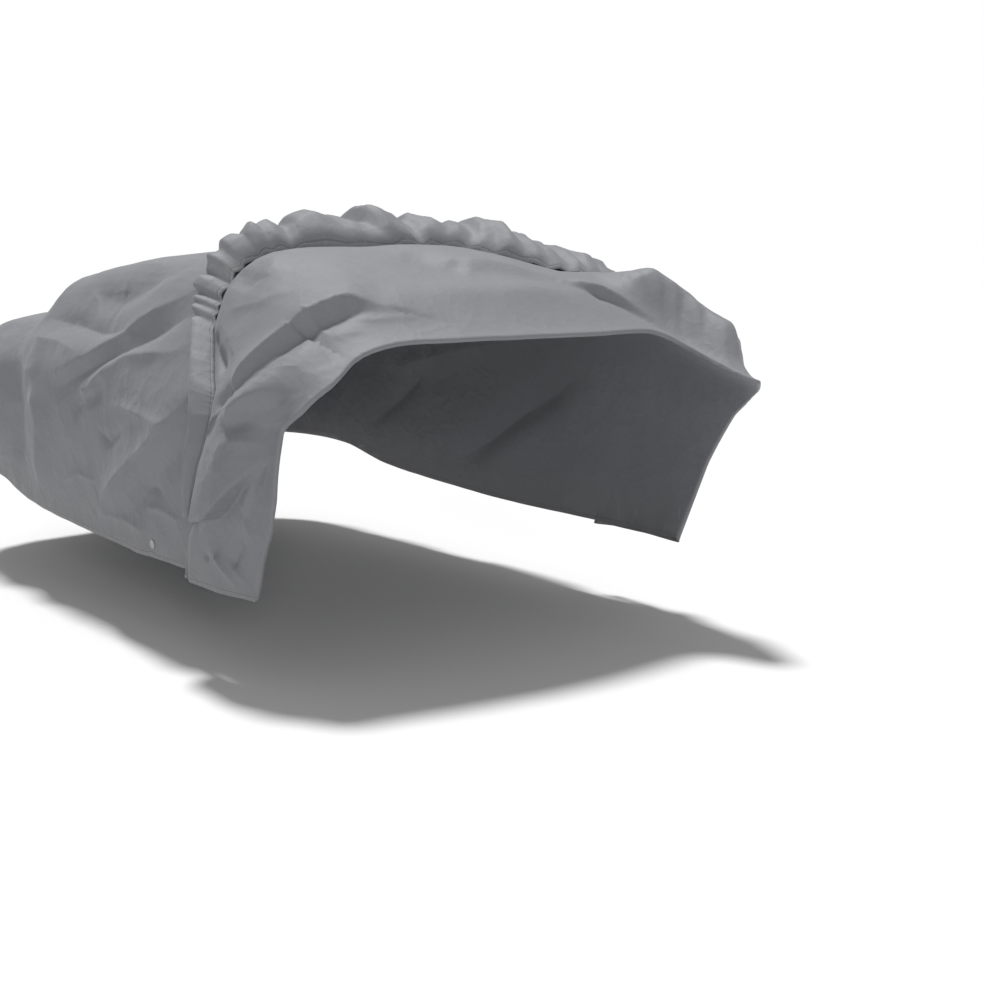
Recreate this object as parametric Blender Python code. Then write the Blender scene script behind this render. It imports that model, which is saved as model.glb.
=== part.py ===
"""Fitted cover for a mid-size four-door saloon, drawn back over its own front third.

One sheet of coated polyester goes up from its rear hem over boot and roof to the middle of the
windscreen. There it is folded back on itself, inside out, and lies over the roof as a second
layer. Its elastic front hem is turned forward once more, as a flap that puffs up over the roof
and tapers to a narrow strip down each side.

The shape stands over a vehicle that isn't modelled. X points to the front, Y to the left and Z
up. The origin is the underside of the cloth where it rests on the middle of the roof.
"""

from collections import namedtuple

import bmesh
import bpy
import numpy as np
from mathutils import Matrix, Vector
from mathutils.bvhtree import BVHTree

# Driving dimensions, in metres. X is measured from the roof rest, heights from the ground.
ROOF_HEIGHT = 1.478
CLOTH = 0.0025
LAYER_GAP = 0.020       # from the lower layer to the turned-back one, where they lie closest
FOLD_RADIUS = 0.5 * LAYER_GAP
TURNED_LOFT = 0.030     # how much more the turned-back layer stands off away from its edges
LOFT_REACH = 0.10       # and over what distance it rises to that
LOFT_START = 0.02       # it starts to rise this far behind the flap's hem
REAR_START = -1.35      # the sides begin to draw in behind this X
REAR_LENGTH = 0.72      # from there to the rearmost cloth
REAR_BULGE = 0.035
REAR_FULL = 2.0         # the bulge is full at one over this share of the way down
REAR_SINK = 0.20        # how far the deck sinks towards the rear face, as a share of its height
SINK_POWER = 8          # how late it sinks
CORNER_POWER = 3.2      # how square the rear corners are
REAR_END = 0.93         # the deck's last row, as a share of the quarter turn into the rear face
REAR_SPREAD = 0.75      # below 1, rows crowd towards the rear face
TURNED_DROP = 0.045     # the turned-back layer hangs this share of a side panel lower
HIDDEN_FADE = 0.12      # the lower layer's folds die out over this distance under the others
EASE_ALONG = 0.09       # half-length over which cloth rounds off a corner along X
EASE_ACROSS = 0.30      # the same across, in panels of the girth
EASE_TURN = 0.06        # the same for the edges of the turned layers, along the girth
EASE_STEPS = 7          # places averaged over each of these

# Mesh: columns run round the girth from the near (right-hand) hem to the far one, rows along X.
SIDE_COLUMNS = (20, 14, 14)    # hem to waist, waist to belt, belt to roof edge
ROOF_COLUMNS = 26           # roof edge to crown
CLOSING_ROWS = 10
SHOWN_ROWS = 64
HIDDEN_ROWS = 6
TURNED_ROWS = 36
FOLD_STEPS = 3
KEPT_SHARE = 0.134       # of the grid's triangles; the rest are merged where the cloth is plain

# The light plastic disc near the near-side hem.
DISC_RADIUS = 0.017
DISC_THICKNESS = 0.003
DISC_DISH = 0.0012          # how deep its middle is sunk
DISC_SIDES = 28
DISC_X = 0.15
DISC_GIRTH = 0.12
DISC_GAP = 0.0004           # between its flat back and the cloth

# Cross-sections of the draped form. The girth has five named stations on each side: hem, waist,
# belt (shoulder of the doors), edge of the roof and crown. w is the half-width, z the height.
Section = namedtuple("Section", "x hem_w hem_z waist_w waist_z belt_w belt_z edge_w edge_z crown_z")
SECTIONS = (
    Section(-2.15, 0.93, 0.460, 0.960, 0.78, 0.930, 0.95, 0.82, 1.035, 1.060),
    Section(-1.85, 0.93, 0.450, 0.960, 0.78, 0.940, 0.96, 0.82, 1.070, 1.095),
    Section(-1.55, 0.93, 0.440, 0.970, 0.77, 0.950, 0.98, 0.80, 1.125, 1.150),
    Section(-1.36, 0.93, 0.425, 0.970, 0.77, 0.950, 0.99, 0.77, 1.145, 1.180),
    Section(-1.20, 0.94, 0.380, 0.970, 0.76, 0.950, 1.00, 0.74, 1.210, 1.250),
    Section(-1.07, 0.94, 0.362, 0.975, 0.76, 0.950, 1.01, 0.71, 1.315, 1.357),
    Section(-0.90, 0.945, 0.347, 0.980, 0.76, 0.950, 1.01, 0.70, 1.357, 1.392),
    Section(-0.60, 0.95, 0.332, 0.980, 0.76, 0.955, 1.01, 0.70, 1.390, 1.430),
    Section(-0.30, 0.95, 0.318, 0.980, 0.76, 0.955, 1.01, 0.70, 1.415, 1.462),
    Section(0.00, 0.95, 0.312, 0.980, 0.76, 0.955, 1.01, 0.70, 1.432, 1.478),
    Section(0.30, 0.95, 0.315, 0.980, 0.75, 0.955, 1.00, 0.70, 1.425, 1.470),
    Section(0.50, 0.95, 0.315, 0.975, 0.75, 0.950, 1.00, 0.69, 1.405, 1.450),
    Section(0.70, 0.95, 0.315, 0.970, 0.74, 0.940, 0.99, 0.68, 1.365, 1.405),
    Section(0.90, 0.945, 0.315, 0.965, 0.73, 0.930, 0.99, 0.67, 1.290, 1.325),
    Section(1.20, 0.94, 0.315, 0.955, 0.72, 0.910, 0.98, 0.66, 1.150, 1.185),
    Section(1.55, 0.93, 0.315, 0.940, 0.70, 0.880, 0.96, 0.66, 1.010, 1.030),
)
STATIONS = 8                # panels of the girth, hem to hem
CROWN = 4

# Where the layers turn, by girth (0 near hem, 2 near belt, 3 near roof edge, 4 crown, 8 far hem).
# front is the X of the front fold, back that of the turned-back layer's rear edge and hem that of
# the elastic hem. puff is how high the flap's roll stands, and lift how high its hem.
Turn = namedtuple("Turn", "girth front back hem puff lift")
TURNS = (
    Turn(0.00, 0.930, 0.440, 0.465, 0.014, 0.007),
    Turn(0.35, 0.985, 0.460, 0.485, 0.014, 0.007),
    Turn(0.49, 1.015, 0.520, 0.545, 0.016, 0.007),
    Turn(0.57, 1.035, 0.595, 0.625, 0.026, 0.008),
    Turn(0.85, 1.068, 0.625, 0.672, 0.050, 0.010),
    Turn(1.18, 1.075, 0.632, 0.702, 0.068, 0.010),
    Turn(1.63, 1.080, 0.622, 0.704, 0.076, 0.010),
    Turn(1.88, 1.160, 0.585, 0.675, 0.076, 0.010),
    Turn(2.10, 1.190, 0.522, 0.608, 0.072, 0.010),
    Turn(2.28, 1.210, 0.452, 0.545, 0.070, 0.010),
    Turn(2.42, 1.205, 0.390, 0.485, 0.068, 0.012),
    Turn(2.65, 1.190, 0.325, 0.440, 0.068, 0.015),
    Turn(2.85, 1.190, 0.300, 0.415, 0.088, 0.015),
    Turn(3.05, 1.195, 0.280, 0.405, 0.112, 0.020),
    Turn(3.16, 1.200, 0.270, 0.430, 0.112, 0.025),
    Turn(3.28, 1.210, 0.265, 0.445, 0.098, 0.025),
    Turn(3.42, 1.220, 0.260, 0.465, 0.136, 0.020),
    Turn(3.54, 1.225, 0.250, 0.490, 0.122, 0.018),
    Turn(3.66, 1.230, 0.250, 0.500, 0.098, 0.015),
    Turn(3.80, 1.240, 0.260, 0.505, 0.138, 0.015),
    Turn(3.99, 1.240, 0.270, 0.510, 0.086, 0.015),
    Turn(4.12, 1.240, 0.280, 0.515, 0.113, 0.015),
    Turn(4.22, 1.235, 0.300, 0.550, 0.102, 0.015),
    Turn(4.33, 1.230, 0.335, 0.620, 0.090, 0.015),
    Turn(4.46, 1.220, 0.370, 0.690, 0.130, 0.015),
    Turn(4.60, 1.205, 0.400, 0.755, 0.074, 0.015),
    Turn(4.67, 1.200, 0.410, 0.760, 0.090, 0.015),
    Turn(4.77, 1.190, 0.420, 0.755, 0.056, 0.015),
    Turn(4.92, 1.175, 0.430, 0.770, 0.070, 0.015),
    Turn(5.10, 1.200, 0.430, 0.800, 0.104, 0.018),
    Turn(5.22, 1.255, 0.430, 0.810, 0.130, 0.020),
    Turn(5.40, 1.460, 0.430, 0.790, 0.105, 0.020),
    Turn(5.65, 1.520, 0.440, 0.740, 0.060, 0.015),
    Turn(6.00, 1.450, 0.470, 0.700, 0.045, 0.010),
    Turn(6.50, 1.280, 0.540, 0.680, 0.040, 0.010),
    Turn(7.20, 1.120, 0.570, 0.630, 0.030, 0.010),
    Turn(8.00, 0.980, 0.450, 0.480, 0.014, 0.007),
)

# The flap's rolled section on the side and on the roof: how far forward of its rear edge, as a
# share of the way to its hem, and how high, as a share of puff. The hem itself is at (1, lift).
Roll = namedtuple("Roll", "side_forward side_height roof_forward roof_height")
ROLL = (
    Roll(0.40, 0.00, 0.40, 0.00),
    Roll(0.10, 0.02, 0.10, 0.02),
    Roll(-0.08, 0.20, -0.10, 0.20),
    Roll(-0.15, 0.52, -0.16, 0.50),
    Roll(-0.10, 0.86, -0.04, 0.82),
    Roll(0.06, 1.00, 0.20, 1.00),
    Roll(0.36, 0.84, 0.58, 0.95),
    Roll(0.70, 0.48, 0.90, 0.60),
)
ROOF_FROM = 2.6             # from this girth the side's section passes into the roof's
ROOF_FULL = 3.3             # and from this one it is the roof's

# Folds. rise is the height (negative for a trough), rear and fore the reach on either side, and
# path the places it runs through, as pairs of X and girth.
Fold = namedtuple("Fold", "rise rear fore path")
FOLD_ENDS = 0.25            # share of its path over which a fold dies away at each end
FOLD_LEAST = 0.3            # share of its height that is left at the very end
LOWER_FOLDS = (
    Fold(-0.036, 0.10, 0.07, ((-0.72, 2.70), (-0.42, 2.58), (-0.12, 2.86))),
    Fold(0.016, 0.12, 0.10, ((-1.00, 2.95), (-0.55, 2.98), (-0.20, 3.05))),
    Fold(-0.036, 0.06, 0.05, ((-1.00, 2.42), (-0.71, 2.36), (-0.44, 2.28), (-0.10, 2.32))),
    Fold(0.026, 0.08, 0.05, ((-1.05, 2.15), (-0.75, 2.12), (-0.52, 2.02))),
    Fold(0.028, 0.10, 0.045, ((-0.68, 1.70), (-0.42, 2.02), (-0.10, 2.42), (0.16, 2.68))),
    Fold(-0.036, 0.05, 0.05, ((-0.66, 1.48), (-0.46, 1.80), (-0.22, 2.07), (0.00, 2.28), (0.24, 2.54))),
    Fold(0.026, 0.05, 0.045, ((-0.42, 1.52), (-0.26, 1.86), (-0.10, 2.06), (0.26, 2.18))),
    Fold(-0.024, 0.06, 0.06, ((-0.54, 1.08), (-0.40, 1.42), (-0.20, 1.68))),
    Fold(0.050, 0.12, 0.050, ((-0.30, 0.30), (-0.04, 0.66), (0.22, 1.05), (0.37, 1.45), (0.46, 1.74))),
    Fold(-0.032, 0.07, 0.09, ((-0.06, 0.30), (0.19, 0.70), (0.38, 1.05), (0.50, 1.40))),
    Fold(0.043, 0.06, 0.06, ((-1.28, 2.20), (-1.20, 1.30), (-1.26, 0.40))),
    Fold(-0.031, 0.07, 0.07, ((-1.10, 1.90), (-1.02, 1.10), (-1.10, 0.30))),
    Fold(0.027, 0.08, 0.08, ((-0.92, 1.60), (-0.84, 0.90), (-0.92, 0.20))),
    Fold(0.051, 0.09, 0.09, ((-1.42, 5.32), (-1.00, 5.10), (-0.40, 5.20), (0.20, 5.00))),
    Fold(-0.051, 0.07, 0.08, ((-1.10, 5.70), (-0.50, 5.62), (0.10, 5.35))),
    Fold(0.054, 0.08, 0.07, ((-0.50, 7.70), (-0.10, 7.10), (0.30, 6.40))),
    Fold(-0.037, 0.08, 0.07, ((-1.00, 6.60), (-0.60, 6.20), (-0.10, 5.90))),
    Fold(0.015, 0.12, 0.12, ((-0.85, 3.55), (-0.78, 4.00), (-0.90, 4.60))),
    Fold(0.015, 0.14, 0.12, ((-1.60, 3.50), (-1.50, 4.00), (-1.60, 4.70))),
)
TURNED_FOLDS = (
    Fold(0.070, 0.20, 0.065,
         ((0.78, 1.75), (0.83, 2.05), (0.87, 2.31), (0.89, 2.56), (0.91, 3.02), (0.93, 3.27))),
    Fold(-0.018, 0.03, 0.06, ((0.93, 2.30), (0.96, 2.60), (0.98, 2.85), (0.98, 3.05))),
    Fold(-0.034, 0.03, 0.03, ((0.50, 2.38), (0.58, 2.25), (0.68, 2.12), (0.71, 2.02))),
    Fold(-0.032, 0.03, 0.03, ((0.86, 1.96), (0.81, 1.84), (0.76, 1.68))),
    Fold(0.014, 0.07, 0.06, ((0.50, 3.10), (0.58, 2.98), (0.62, 2.85))),
    Fold(-0.016, 0.04, 0.05, ((1.11, 2.46), (1.14, 2.60), (1.15, 2.74))),
    Fold(-0.022, 0.08, 0.08, ((0.68, 3.66), (0.76, 3.82), (0.84, 3.96))),
    Fold(0.036, 0.05, 0.035, ((0.84, 1.66), (0.95, 1.85), (1.08, 2.04))),
    Fold(-0.033, 0.035, 0.04, ((0.88, 1.54), (1.00, 1.78), (1.12, 1.92))),
    Fold(0.015, 0.08, 0.08, ((0.96, 3.40), (1.00, 4.00), (0.98, 4.50))),
    Fold(0.024, 0.10, 0.06, ((0.74, 3.75), (0.80, 4.10), (0.86, 4.40))),
    Fold(0.145, 0.16, 0.09,
         ((0.80, 5.00), (0.95, 5.10), (1.08, 5.34), (1.20, 5.48), (1.32, 5.64), (1.40, 5.76))),
    Fold(0.035, 0.10, 0.08, ((0.82, 5.25), (0.84, 5.50), (0.88, 6.00))),
    Fold(0.020, 0.05, 0.03, ((0.92, 4.62), (1.00, 4.90), (1.12, 5.10), (1.30, 5.22))),
    Fold(0.045, 0.08, 0.06, ((0.90, 6.20), (0.84, 7.00), (0.86, 7.60))),
    Fold(0.026, 0.030, 0.030, ((0.70, 0.30), (0.76, 0.26), (0.80, 0.17), (0.85, 0.06))),
    Fold(0.036, 0.05, 0.04, ((0.90, 0.58), (0.95, 0.42), (0.99, 0.20))),
    Fold(-0.021, 0.04, 0.04, ((0.91, 0.72), (0.89, 0.48), (0.84, 0.24))),
)

# The near side's turned-back layer overhangs: above this line it hangs clear of the layers
# beneath, and at the line it tucks under. Pairs of X and girth.
OVERHANG_LINE = ((0.40, 0.53), (0.67, 0.54), (0.76, 0.62), (0.88, 0.82), (0.99, 1.08), (1.10, 1.40),
                 (1.20, 1.90))
OVERHANG_RISE = 0.085
OVERHANG_EDGE = 0.042       # over this distance it falls back at the line
OVERHANG_REACH = 0.42       # and over this one it fades away above
OVERHANG_LEAST = 0.35       # share of the rise at the line's ends
OVERHANG_START = 0.60       # it comes up from this X
OVERHANG_FULL = 0.80        # to this one
OVERHANG_FADING = 1.00      # and dies away from this one
OVERHANG_FINISH = 1.16      # to this one
OVERHANG_TOP = 2.6          # the girth it stays below


def station_shares(girth):
    """Share of each station's point in a girth position, one array per station.

    One station before the first and one past the last carry the side panels straight on.
    """
    offsets = np.linspace(-EASE_ACROSS, EASE_ACROSS, EASE_STEPS)
    return [np.mean([np.maximum(0.0, 1.0 - abs(girth + offset - station)) for offset in offsets], axis=0)
            for station in range(-1, STATIONS + 2)]


def eased(at, rows, key, column, reach):
    """One column of a table, read at these places of its key, with its corners rounded off."""
    places = [getattr(row, key) for row in rows]
    values = [getattr(row, column) for row in rows]
    offsets = np.linspace(-reach, reach, EASE_STEPS)
    return np.mean([np.interp(at + offset, places, values) for offset in offsets], axis=0)


def draped(x, girth):
    """Points of the plain draped form, without layers or folds."""
    closing = np.clip((REAR_START - x) / REAR_LENGTH, 0.0, 0.999)
    narrowing = (1.0 - closing ** CORNER_POWER) ** (1.0 / CORNER_POWER)
    sinking = 1.0 - REAR_SINK * closing ** SINK_POWER
    hem_z = eased(x, SECTIONS, "x", "hem_z", EASE_ALONG)

    def height(station):
        return hem_z + (eased(x, SECTIONS, "x", station + "_z", EASE_ALONG) - hem_z) * sinking

    half = [(eased(x, SECTIONS, "x", station + "_w", EASE_ALONG) * narrowing, height(station))
            for station in ("hem", "waist", "belt", "edge")]
    stations = [(-w, z) for w, z in half] + [(np.zeros_like(x), height("crown"))] + half[::-1]
    before = [2 * first - second for first, second in zip(stations[0], stations[1])]
    after = [2 * last - second for last, second in zip(stations[-1], stations[-2])]
    stations = [before] + stations + [after]
    shares = station_shares(girth)
    y = sum(share * w for share, (w, z) in zip(shares, stations))
    z = sum(share * z for share, (w, z) in zip(shares, stations))
    return np.stack([x, y, z], axis=-1)


def outward(x, girth):
    """Unit normals of the draped form."""
    step = 0.01
    along = draped(x + step, girth) - draped(x - step, girth)
    across = draped(x, girth + step) - draped(x, girth - step)
    normal = np.cross(along, across)
    return normal / np.linalg.norm(normal, axis=-1, keepdims=True)


def hung(x, girth, height):
    """Points that stand this far off the draped form."""
    return draped(x, girth) + outward(x, girth) * height[..., None]


def turn(girth, column):
    """Where the layers turn, at these girths."""
    return eased(girth, TURNS, "girth", column, EASE_TURN)


def smooth_step(value):
    value = np.clip(value, 0.0, 1.0)
    return value * value * (3.0 - 2.0 * value)


def beside(x, girth, path):
    """Distance in metres to a path on the draped form, negative on its rear or upper side, and
    the share of the path's length at the nearest place."""
    point = draped(x, girth)
    stops = np.array(path)
    corners = draped(stops[:, 0], stops[:, 1])
    lengths = np.linalg.norm(np.diff(corners, axis=0), axis=1)
    nearest = np.full_like(x, np.inf)
    side = np.ones_like(x)
    share = np.zeros_like(x)
    for number, length in enumerate(lengths):
        start, end = corners[number], corners[number + 1]
        along = np.clip((point - start) @ (end - start) / length ** 2, 0.0, 1.0)
        distance = np.linalg.norm(point - start - along[..., None] * (end - start), axis=-1)
        (x0, g0), (x1, g1) = stops[number], stops[number + 1]
        ahead = (x - x0) * (g1 - g0) - (girth - g0) * (x1 - x0)
        closer = distance < nearest
        nearest = np.where(closer, distance, nearest)
        side = np.where(closer, np.sign(ahead * (1.0 if g1 > g0 or (g1 == g0 and x1 < x0) else -1.0)), side)
        share = np.where(closer, (lengths[:number].sum() + along * length) / lengths.sum(), share)
    return nearest * side, share


def relief(x, girth, folds):
    """Height of these folds at each place."""
    total = np.zeros_like(x)
    for fold in folds:
        distance, share = beside(x, girth, fold.path)
        reach = np.where(distance > 0.0, fold.fore, fold.rear)
        ends = FOLD_LEAST + (1.0 - FOLD_LEAST) * smooth_step(np.minimum(share, 1.0 - share) / FOLD_ENDS)
        total = total + fold.rise * ends * np.exp(-(distance / reach) ** 2)
    return total


def overhang(x, girth):
    """How far the near side's turned-back layer hangs clear."""
    above = -beside(x, girth, OVERHANG_LINE)[0]
    rise = smooth_step(above / OVERHANG_EDGE) * (1.0 - smooth_step(above / OVERHANG_REACH))
    middle = smooth_step((x - OVERHANG_START) / (OVERHANG_FULL - OVERHANG_START))
    middle = middle * smooth_step((OVERHANG_FINISH - x) / (OVERHANG_FINISH - OVERHANG_FADING))
    rise = rise * (OVERHANG_LEAST + (1.0 - OVERHANG_LEAST) * middle)
    return np.where(girth < OVERHANG_TOP, OVERHANG_RISE * rise, 0.0)


def turned_height(x, girth):
    """How far the turned-back layer stands off the draped form."""
    front = turn(girth, "front") - FOLD_RADIUS
    clear_of_fold = smooth_step((front - x) / LOFT_REACH)
    clear_of_flap = smooth_step((x - turn(girth, "hem") + LOFT_START) / LOFT_REACH)
    free = TURNED_LOFT + relief(x, girth, TURNED_FOLDS)
    return LAYER_GAP + (free * clear_of_flap + overhang(x, girth)) * clear_of_fold


def turned_girth(girth):
    """The turned-back layer's hems hang a little lower than those beneath."""
    near = np.clip(1.0 - girth, 0.0, 1.0)
    far = np.clip(girth - (STATIONS - 1), 0.0, 1.0)
    return girth + TURNED_DROP * (far - near)


def girth_columns():
    """Girth positions of the columns, near hem to far hem."""
    near = []
    for station, count in enumerate(SIDE_COLUMNS):
        near += [station + step / count for step in range(count)]
    near += [len(SIDE_COLUMNS) + step / ROOF_COLUMNS for step in range(ROOF_COLUMNS)]
    return np.array(near + [float(CROWN)] + [STATIONS - position for position in reversed(near)])


def lower_rows(girth):
    """The lower layer, from the rear corners to just behind the front fold."""
    rear = [REAR_START - REAR_LENGTH * np.sin(0.5 * np.pi * share) ** REAR_SPREAD
            for share in np.linspace(REAR_END, 0.0, CLOSING_ROWS + 1)[:-1]]
    shown_end = turn(girth, "back") - LAYER_GAP
    front = turn(girth, "front") - FOLD_RADIUS
    rows = [np.full_like(girth, x) for x in rear]
    rows += [REAR_START + (shown_end - REAR_START) * step / SHOWN_ROWS for step in range(SHOWN_ROWS)]
    rows += [shown_end + (front - shown_end) * step / HIDDEN_ROWS for step in range(HIDDEN_ROWS + 1)]
    hidden = [smooth_step((x - shown_end) / HIDDEN_FADE) for x in rows]
    return [hung(x, girth, relief(x, girth, LOWER_FOLDS) * (1.0 - under))
            for x, under in zip(rows, hidden)]


def fold_rows(girth):
    """The front fold, round from the lower layer to the turned-back one."""
    front = turn(girth, "front") - FOLD_RADIUS
    rows = []
    for step in range(1, FOLD_STEPS + 1):
        share = step / (FOLD_STEPS + 1)
        angle = np.pi * share
        place = girth + (turned_girth(girth) - girth) * share
        height = np.full_like(girth, FOLD_RADIUS * (1.0 - np.cos(angle)))
        rows.append(hung(front + FOLD_RADIUS * np.sin(angle), place, height))
    return rows


def turned_rows(girth):
    """The turned-back layer, from the front fold back to where the flap's roll begins."""
    place = turned_girth(girth)
    front = turn(girth, "front") - FOLD_RADIUS
    back = turn(girth, "back")
    end = back + ROLL[0].side_forward * (turn(girth, "hem") - back)
    rows = []
    for step in range(TURNED_ROWS):
        x = front + (end - front) * step / TURNED_ROWS
        rows.append(hung(x, place, turned_height(x, girth)))
    return rows


def flap_rows(girth):
    """The flap: round its rear edge and forward to the elastic hem."""
    place = turned_girth(girth)
    back = turn(girth, "back")
    hem = turn(girth, "hem")
    puff = turn(girth, "puff")
    roof = smooth_step((girth - ROOF_FROM) / (ROOF_FULL - ROOF_FROM))
    rows = []
    for roll in ROLL:
        forward = roll.side_forward + (roll.roof_forward - roll.side_forward) * roof
        height = roll.side_height + (roll.roof_height - roll.side_height) * roof
        x = back + forward * (hem - back)
        rows.append(hung(x, place, LAYER_GAP + overhang(x, girth) + height * puff))
    return rows + [hung(hem, place, LAYER_GAP + overhang(hem, girth) + turn(girth, "lift"))]


def rear_face(first, side_count):
    """Inner points of the rear face, hung between the first row's two sides (a Coons patch)."""
    near = first[:side_count + 1][::-1]
    far = first[-side_count - 1:]
    top = first[side_count:len(first) - side_count]
    across = (top[:, 1] - top[0, 1]) / (top[-1, 1] - top[0, 1])
    crest = top - top[0] - np.outer(across, top[-1] - top[0])
    bulge = np.outer(1.0 - (2.0 * across - 1.0) ** 2, (-REAR_BULGE, 0.0, 0.0))
    rows = []
    for down in range(1, side_count + 1):
        depth = down / side_count
        level = near[down] + np.outer(across, far[down] - near[down])
        rows.append(level + crest * (1.0 - depth) + bulge * smooth_step(depth * REAR_FULL))
    return rows


def paint(name, colour, roughness):
    """A plain material of this colour."""
    material = bpy.data.materials.new(name)
    material.use_nodes = True
    shader = material.node_tree.nodes["Principled BSDF"]
    shader.inputs["Base Color"].default_value = (*colour, 1.0)
    shader.inputs["Roughness"].default_value = roughness
    material.diffuse_color = (*colour, 1.0)
    return material


def cover_cloth():
    """The cover: one sheet from the rear hem to the elastic front hem."""
    girth = girth_columns()
    rows = lower_rows(girth) + fold_rows(girth) + turned_rows(girth) + flap_rows(girth)
    sheet = bmesh.new()
    to_origin = np.array([0.0, 0.0, -ROOF_HEIGHT])
    grid = [[sheet.verts.new(point + to_origin) for point in row] for row in rows]
    for row, following in zip(grid, grid[1:]):
        for column in range(len(girth) - 1):
            sheet.faces.new((row[column], following[column], following[column + 1], row[column + 1]))
    sides = sum(SIDE_COLUMNS)
    above = grid[0][sides:len(girth) - sides]
    for down, row in enumerate(rear_face(rows[0], sides), start=1):
        near, far = grid[0][sides - down], grid[0][len(girth) - 1 - sides + down]
        below = [near] + [sheet.verts.new(point + to_origin) for point in row[1:-1]] + [far]
        for column in range(len(above) - 1):
            sheet.faces.new((above[column], above[column + 1], below[column + 1], below[column]))
        above = below
    mesh = bpy.data.meshes.new("cover_cloth")
    sheet.to_mesh(mesh)
    sheet.free()
    mesh.shade_smooth()
    cover = bpy.data.objects.new("cover_cloth", mesh)
    bpy.context.collection.objects.link(cover)
    mesh.materials.append(paint("grey_polyester", (0.20, 0.20, 0.21), 0.75))
    plainer = cover.modifiers.new("fewer faces where plain", "DECIMATE")
    plainer.ratio = KEPT_SHARE
    thickness = cover.modifiers.new("cloth thickness", "SOLIDIFY")
    thickness.thickness = CLOTH
    thickness.offset = 1.0
    return cover


def disc_seat(cover):
    """Where the disc lies: its turn and place against the outer face of the cloth."""
    x, girth = np.array([DISC_X]), np.array([DISC_GIRTH])
    middle = Vector(draped(x, girth)[0]) - Vector((0.0, 0.0, ROOF_HEIGHT))
    out = Vector(outward(x, girth)[0])
    spin = out.to_track_quat("Z", "Y").to_matrix()
    cloth = BVHTree.FromObject(cover, bpy.context.evaluated_depsgraph_get())
    touched = []
    for side in range(DISC_SIDES):
        angle = 2.0 * np.pi * side / DISC_SIDES
        aside = spin @ Vector((np.cos(angle), np.sin(angle), 0.0)) * DISC_RADIUS
        touched.append(cloth.ray_cast(middle + aside + out, -out)[0])
    third = DISC_SIDES // 3
    normal = (touched[third] - touched[0]).cross(touched[2 * third] - touched[0]).normalized()
    centre = sum(touched, Vector()) / DISC_SIDES
    standing = max((point - centre).dot(normal) for point in touched)
    turned = normal.to_track_quat("Z", "Y").to_matrix().to_4x4()
    return Matrix.Translation(centre + normal * (standing + DISC_GAP)) @ turned


def hem_disc(cover):
    """The dished plastic disc on the cloth, just above the near hem."""
    radii = (0.30 * DISC_RADIUS, 0.55 * DISC_RADIUS, 0.90 * DISC_RADIUS, DISC_RADIUS, DISC_RADIUS)
    heights = (DISC_THICKNESS - DISC_DISH, DISC_THICKNESS, DISC_THICKNESS, 0.6 * DISC_THICKNESS, 0.0)
    disc = bmesh.new()
    rings = []
    for radius, height in zip(radii, heights):
        angles = [2.0 * np.pi * side / DISC_SIDES for side in range(DISC_SIDES)]
        rings.append([disc.verts.new((radius * np.cos(angle), radius * np.sin(angle), height))
                      for angle in angles])
    for inner, outer in zip(rings, rings[1:]):
        for side in range(DISC_SIDES):
            following = (side + 1) % DISC_SIDES
            disc.faces.new((inner[side], outer[side], outer[following], inner[following]))
    disc.faces.new(rings[0])
    disc.faces.new(rings[-1][::-1])
    disc.transform(disc_seat(cover))
    mesh = bpy.data.meshes.new("hem_disc")
    disc.to_mesh(mesh)
    disc.free()
    mesh.materials.append(paint("light_plastic", (0.52, 0.53, 0.54), 0.5))
    bpy.context.collection.objects.link(bpy.data.objects.new("hem_disc", mesh))


for leftover in list(bpy.data.objects):
    bpy.data.objects.remove(leftover)
hem_disc(cover_cloth())
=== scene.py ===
"""Looks of a fitted car cover that is drawn back over its own front: cloth, disc, light and camera."""

from collections import namedtuple

import bmesh
import bpy
import numpy as np
from mathutils import Matrix, Vector


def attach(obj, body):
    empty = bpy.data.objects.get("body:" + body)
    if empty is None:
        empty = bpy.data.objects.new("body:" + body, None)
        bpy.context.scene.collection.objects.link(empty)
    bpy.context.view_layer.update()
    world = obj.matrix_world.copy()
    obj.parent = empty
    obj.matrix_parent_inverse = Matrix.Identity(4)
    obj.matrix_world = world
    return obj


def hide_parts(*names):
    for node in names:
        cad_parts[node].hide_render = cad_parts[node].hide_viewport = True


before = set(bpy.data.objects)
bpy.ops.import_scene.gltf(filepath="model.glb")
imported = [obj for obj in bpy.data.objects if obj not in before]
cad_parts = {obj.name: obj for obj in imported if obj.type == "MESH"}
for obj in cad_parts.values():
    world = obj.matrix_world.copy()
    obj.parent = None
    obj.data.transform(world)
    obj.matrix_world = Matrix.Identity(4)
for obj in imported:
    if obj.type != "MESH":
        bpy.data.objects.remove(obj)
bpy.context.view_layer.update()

# ---------------------------------------------------------------- the camera
# It stands 1.5 m above the ground, in front of the cover and to its right, and looks back along the
# near side, as in the photograph.

CAMERA_PLACE = (5.527, -3.577, 0.064)
CAMERA_HEADING = 2.476
CAMERA_PITCH = -0.163
CAMERA_ROLL = 0.014
CAMERA_LENS = 58.68
FILM_WIDTH = 36.0

camera = bpy.data.objects.new("camera", bpy.data.cameras.new("camera"))
bpy.context.scene.collection.objects.link(camera)
camera.data.sensor_width = FILM_WIDTH
camera.data.lens = CAMERA_LENS
camera.matrix_world = (
    Matrix.Translation(CAMERA_PLACE)
    @ Matrix.Rotation(CAMERA_HEADING - 0.5 * np.pi, 4, "Z")
    @ Matrix.Rotation(0.5 * np.pi + CAMERA_PITCH, 4, "X")
    @ Matrix.Rotation(CAMERA_ROLL, 4, "Z"))
bpy.context.scene.camera = camera

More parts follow.
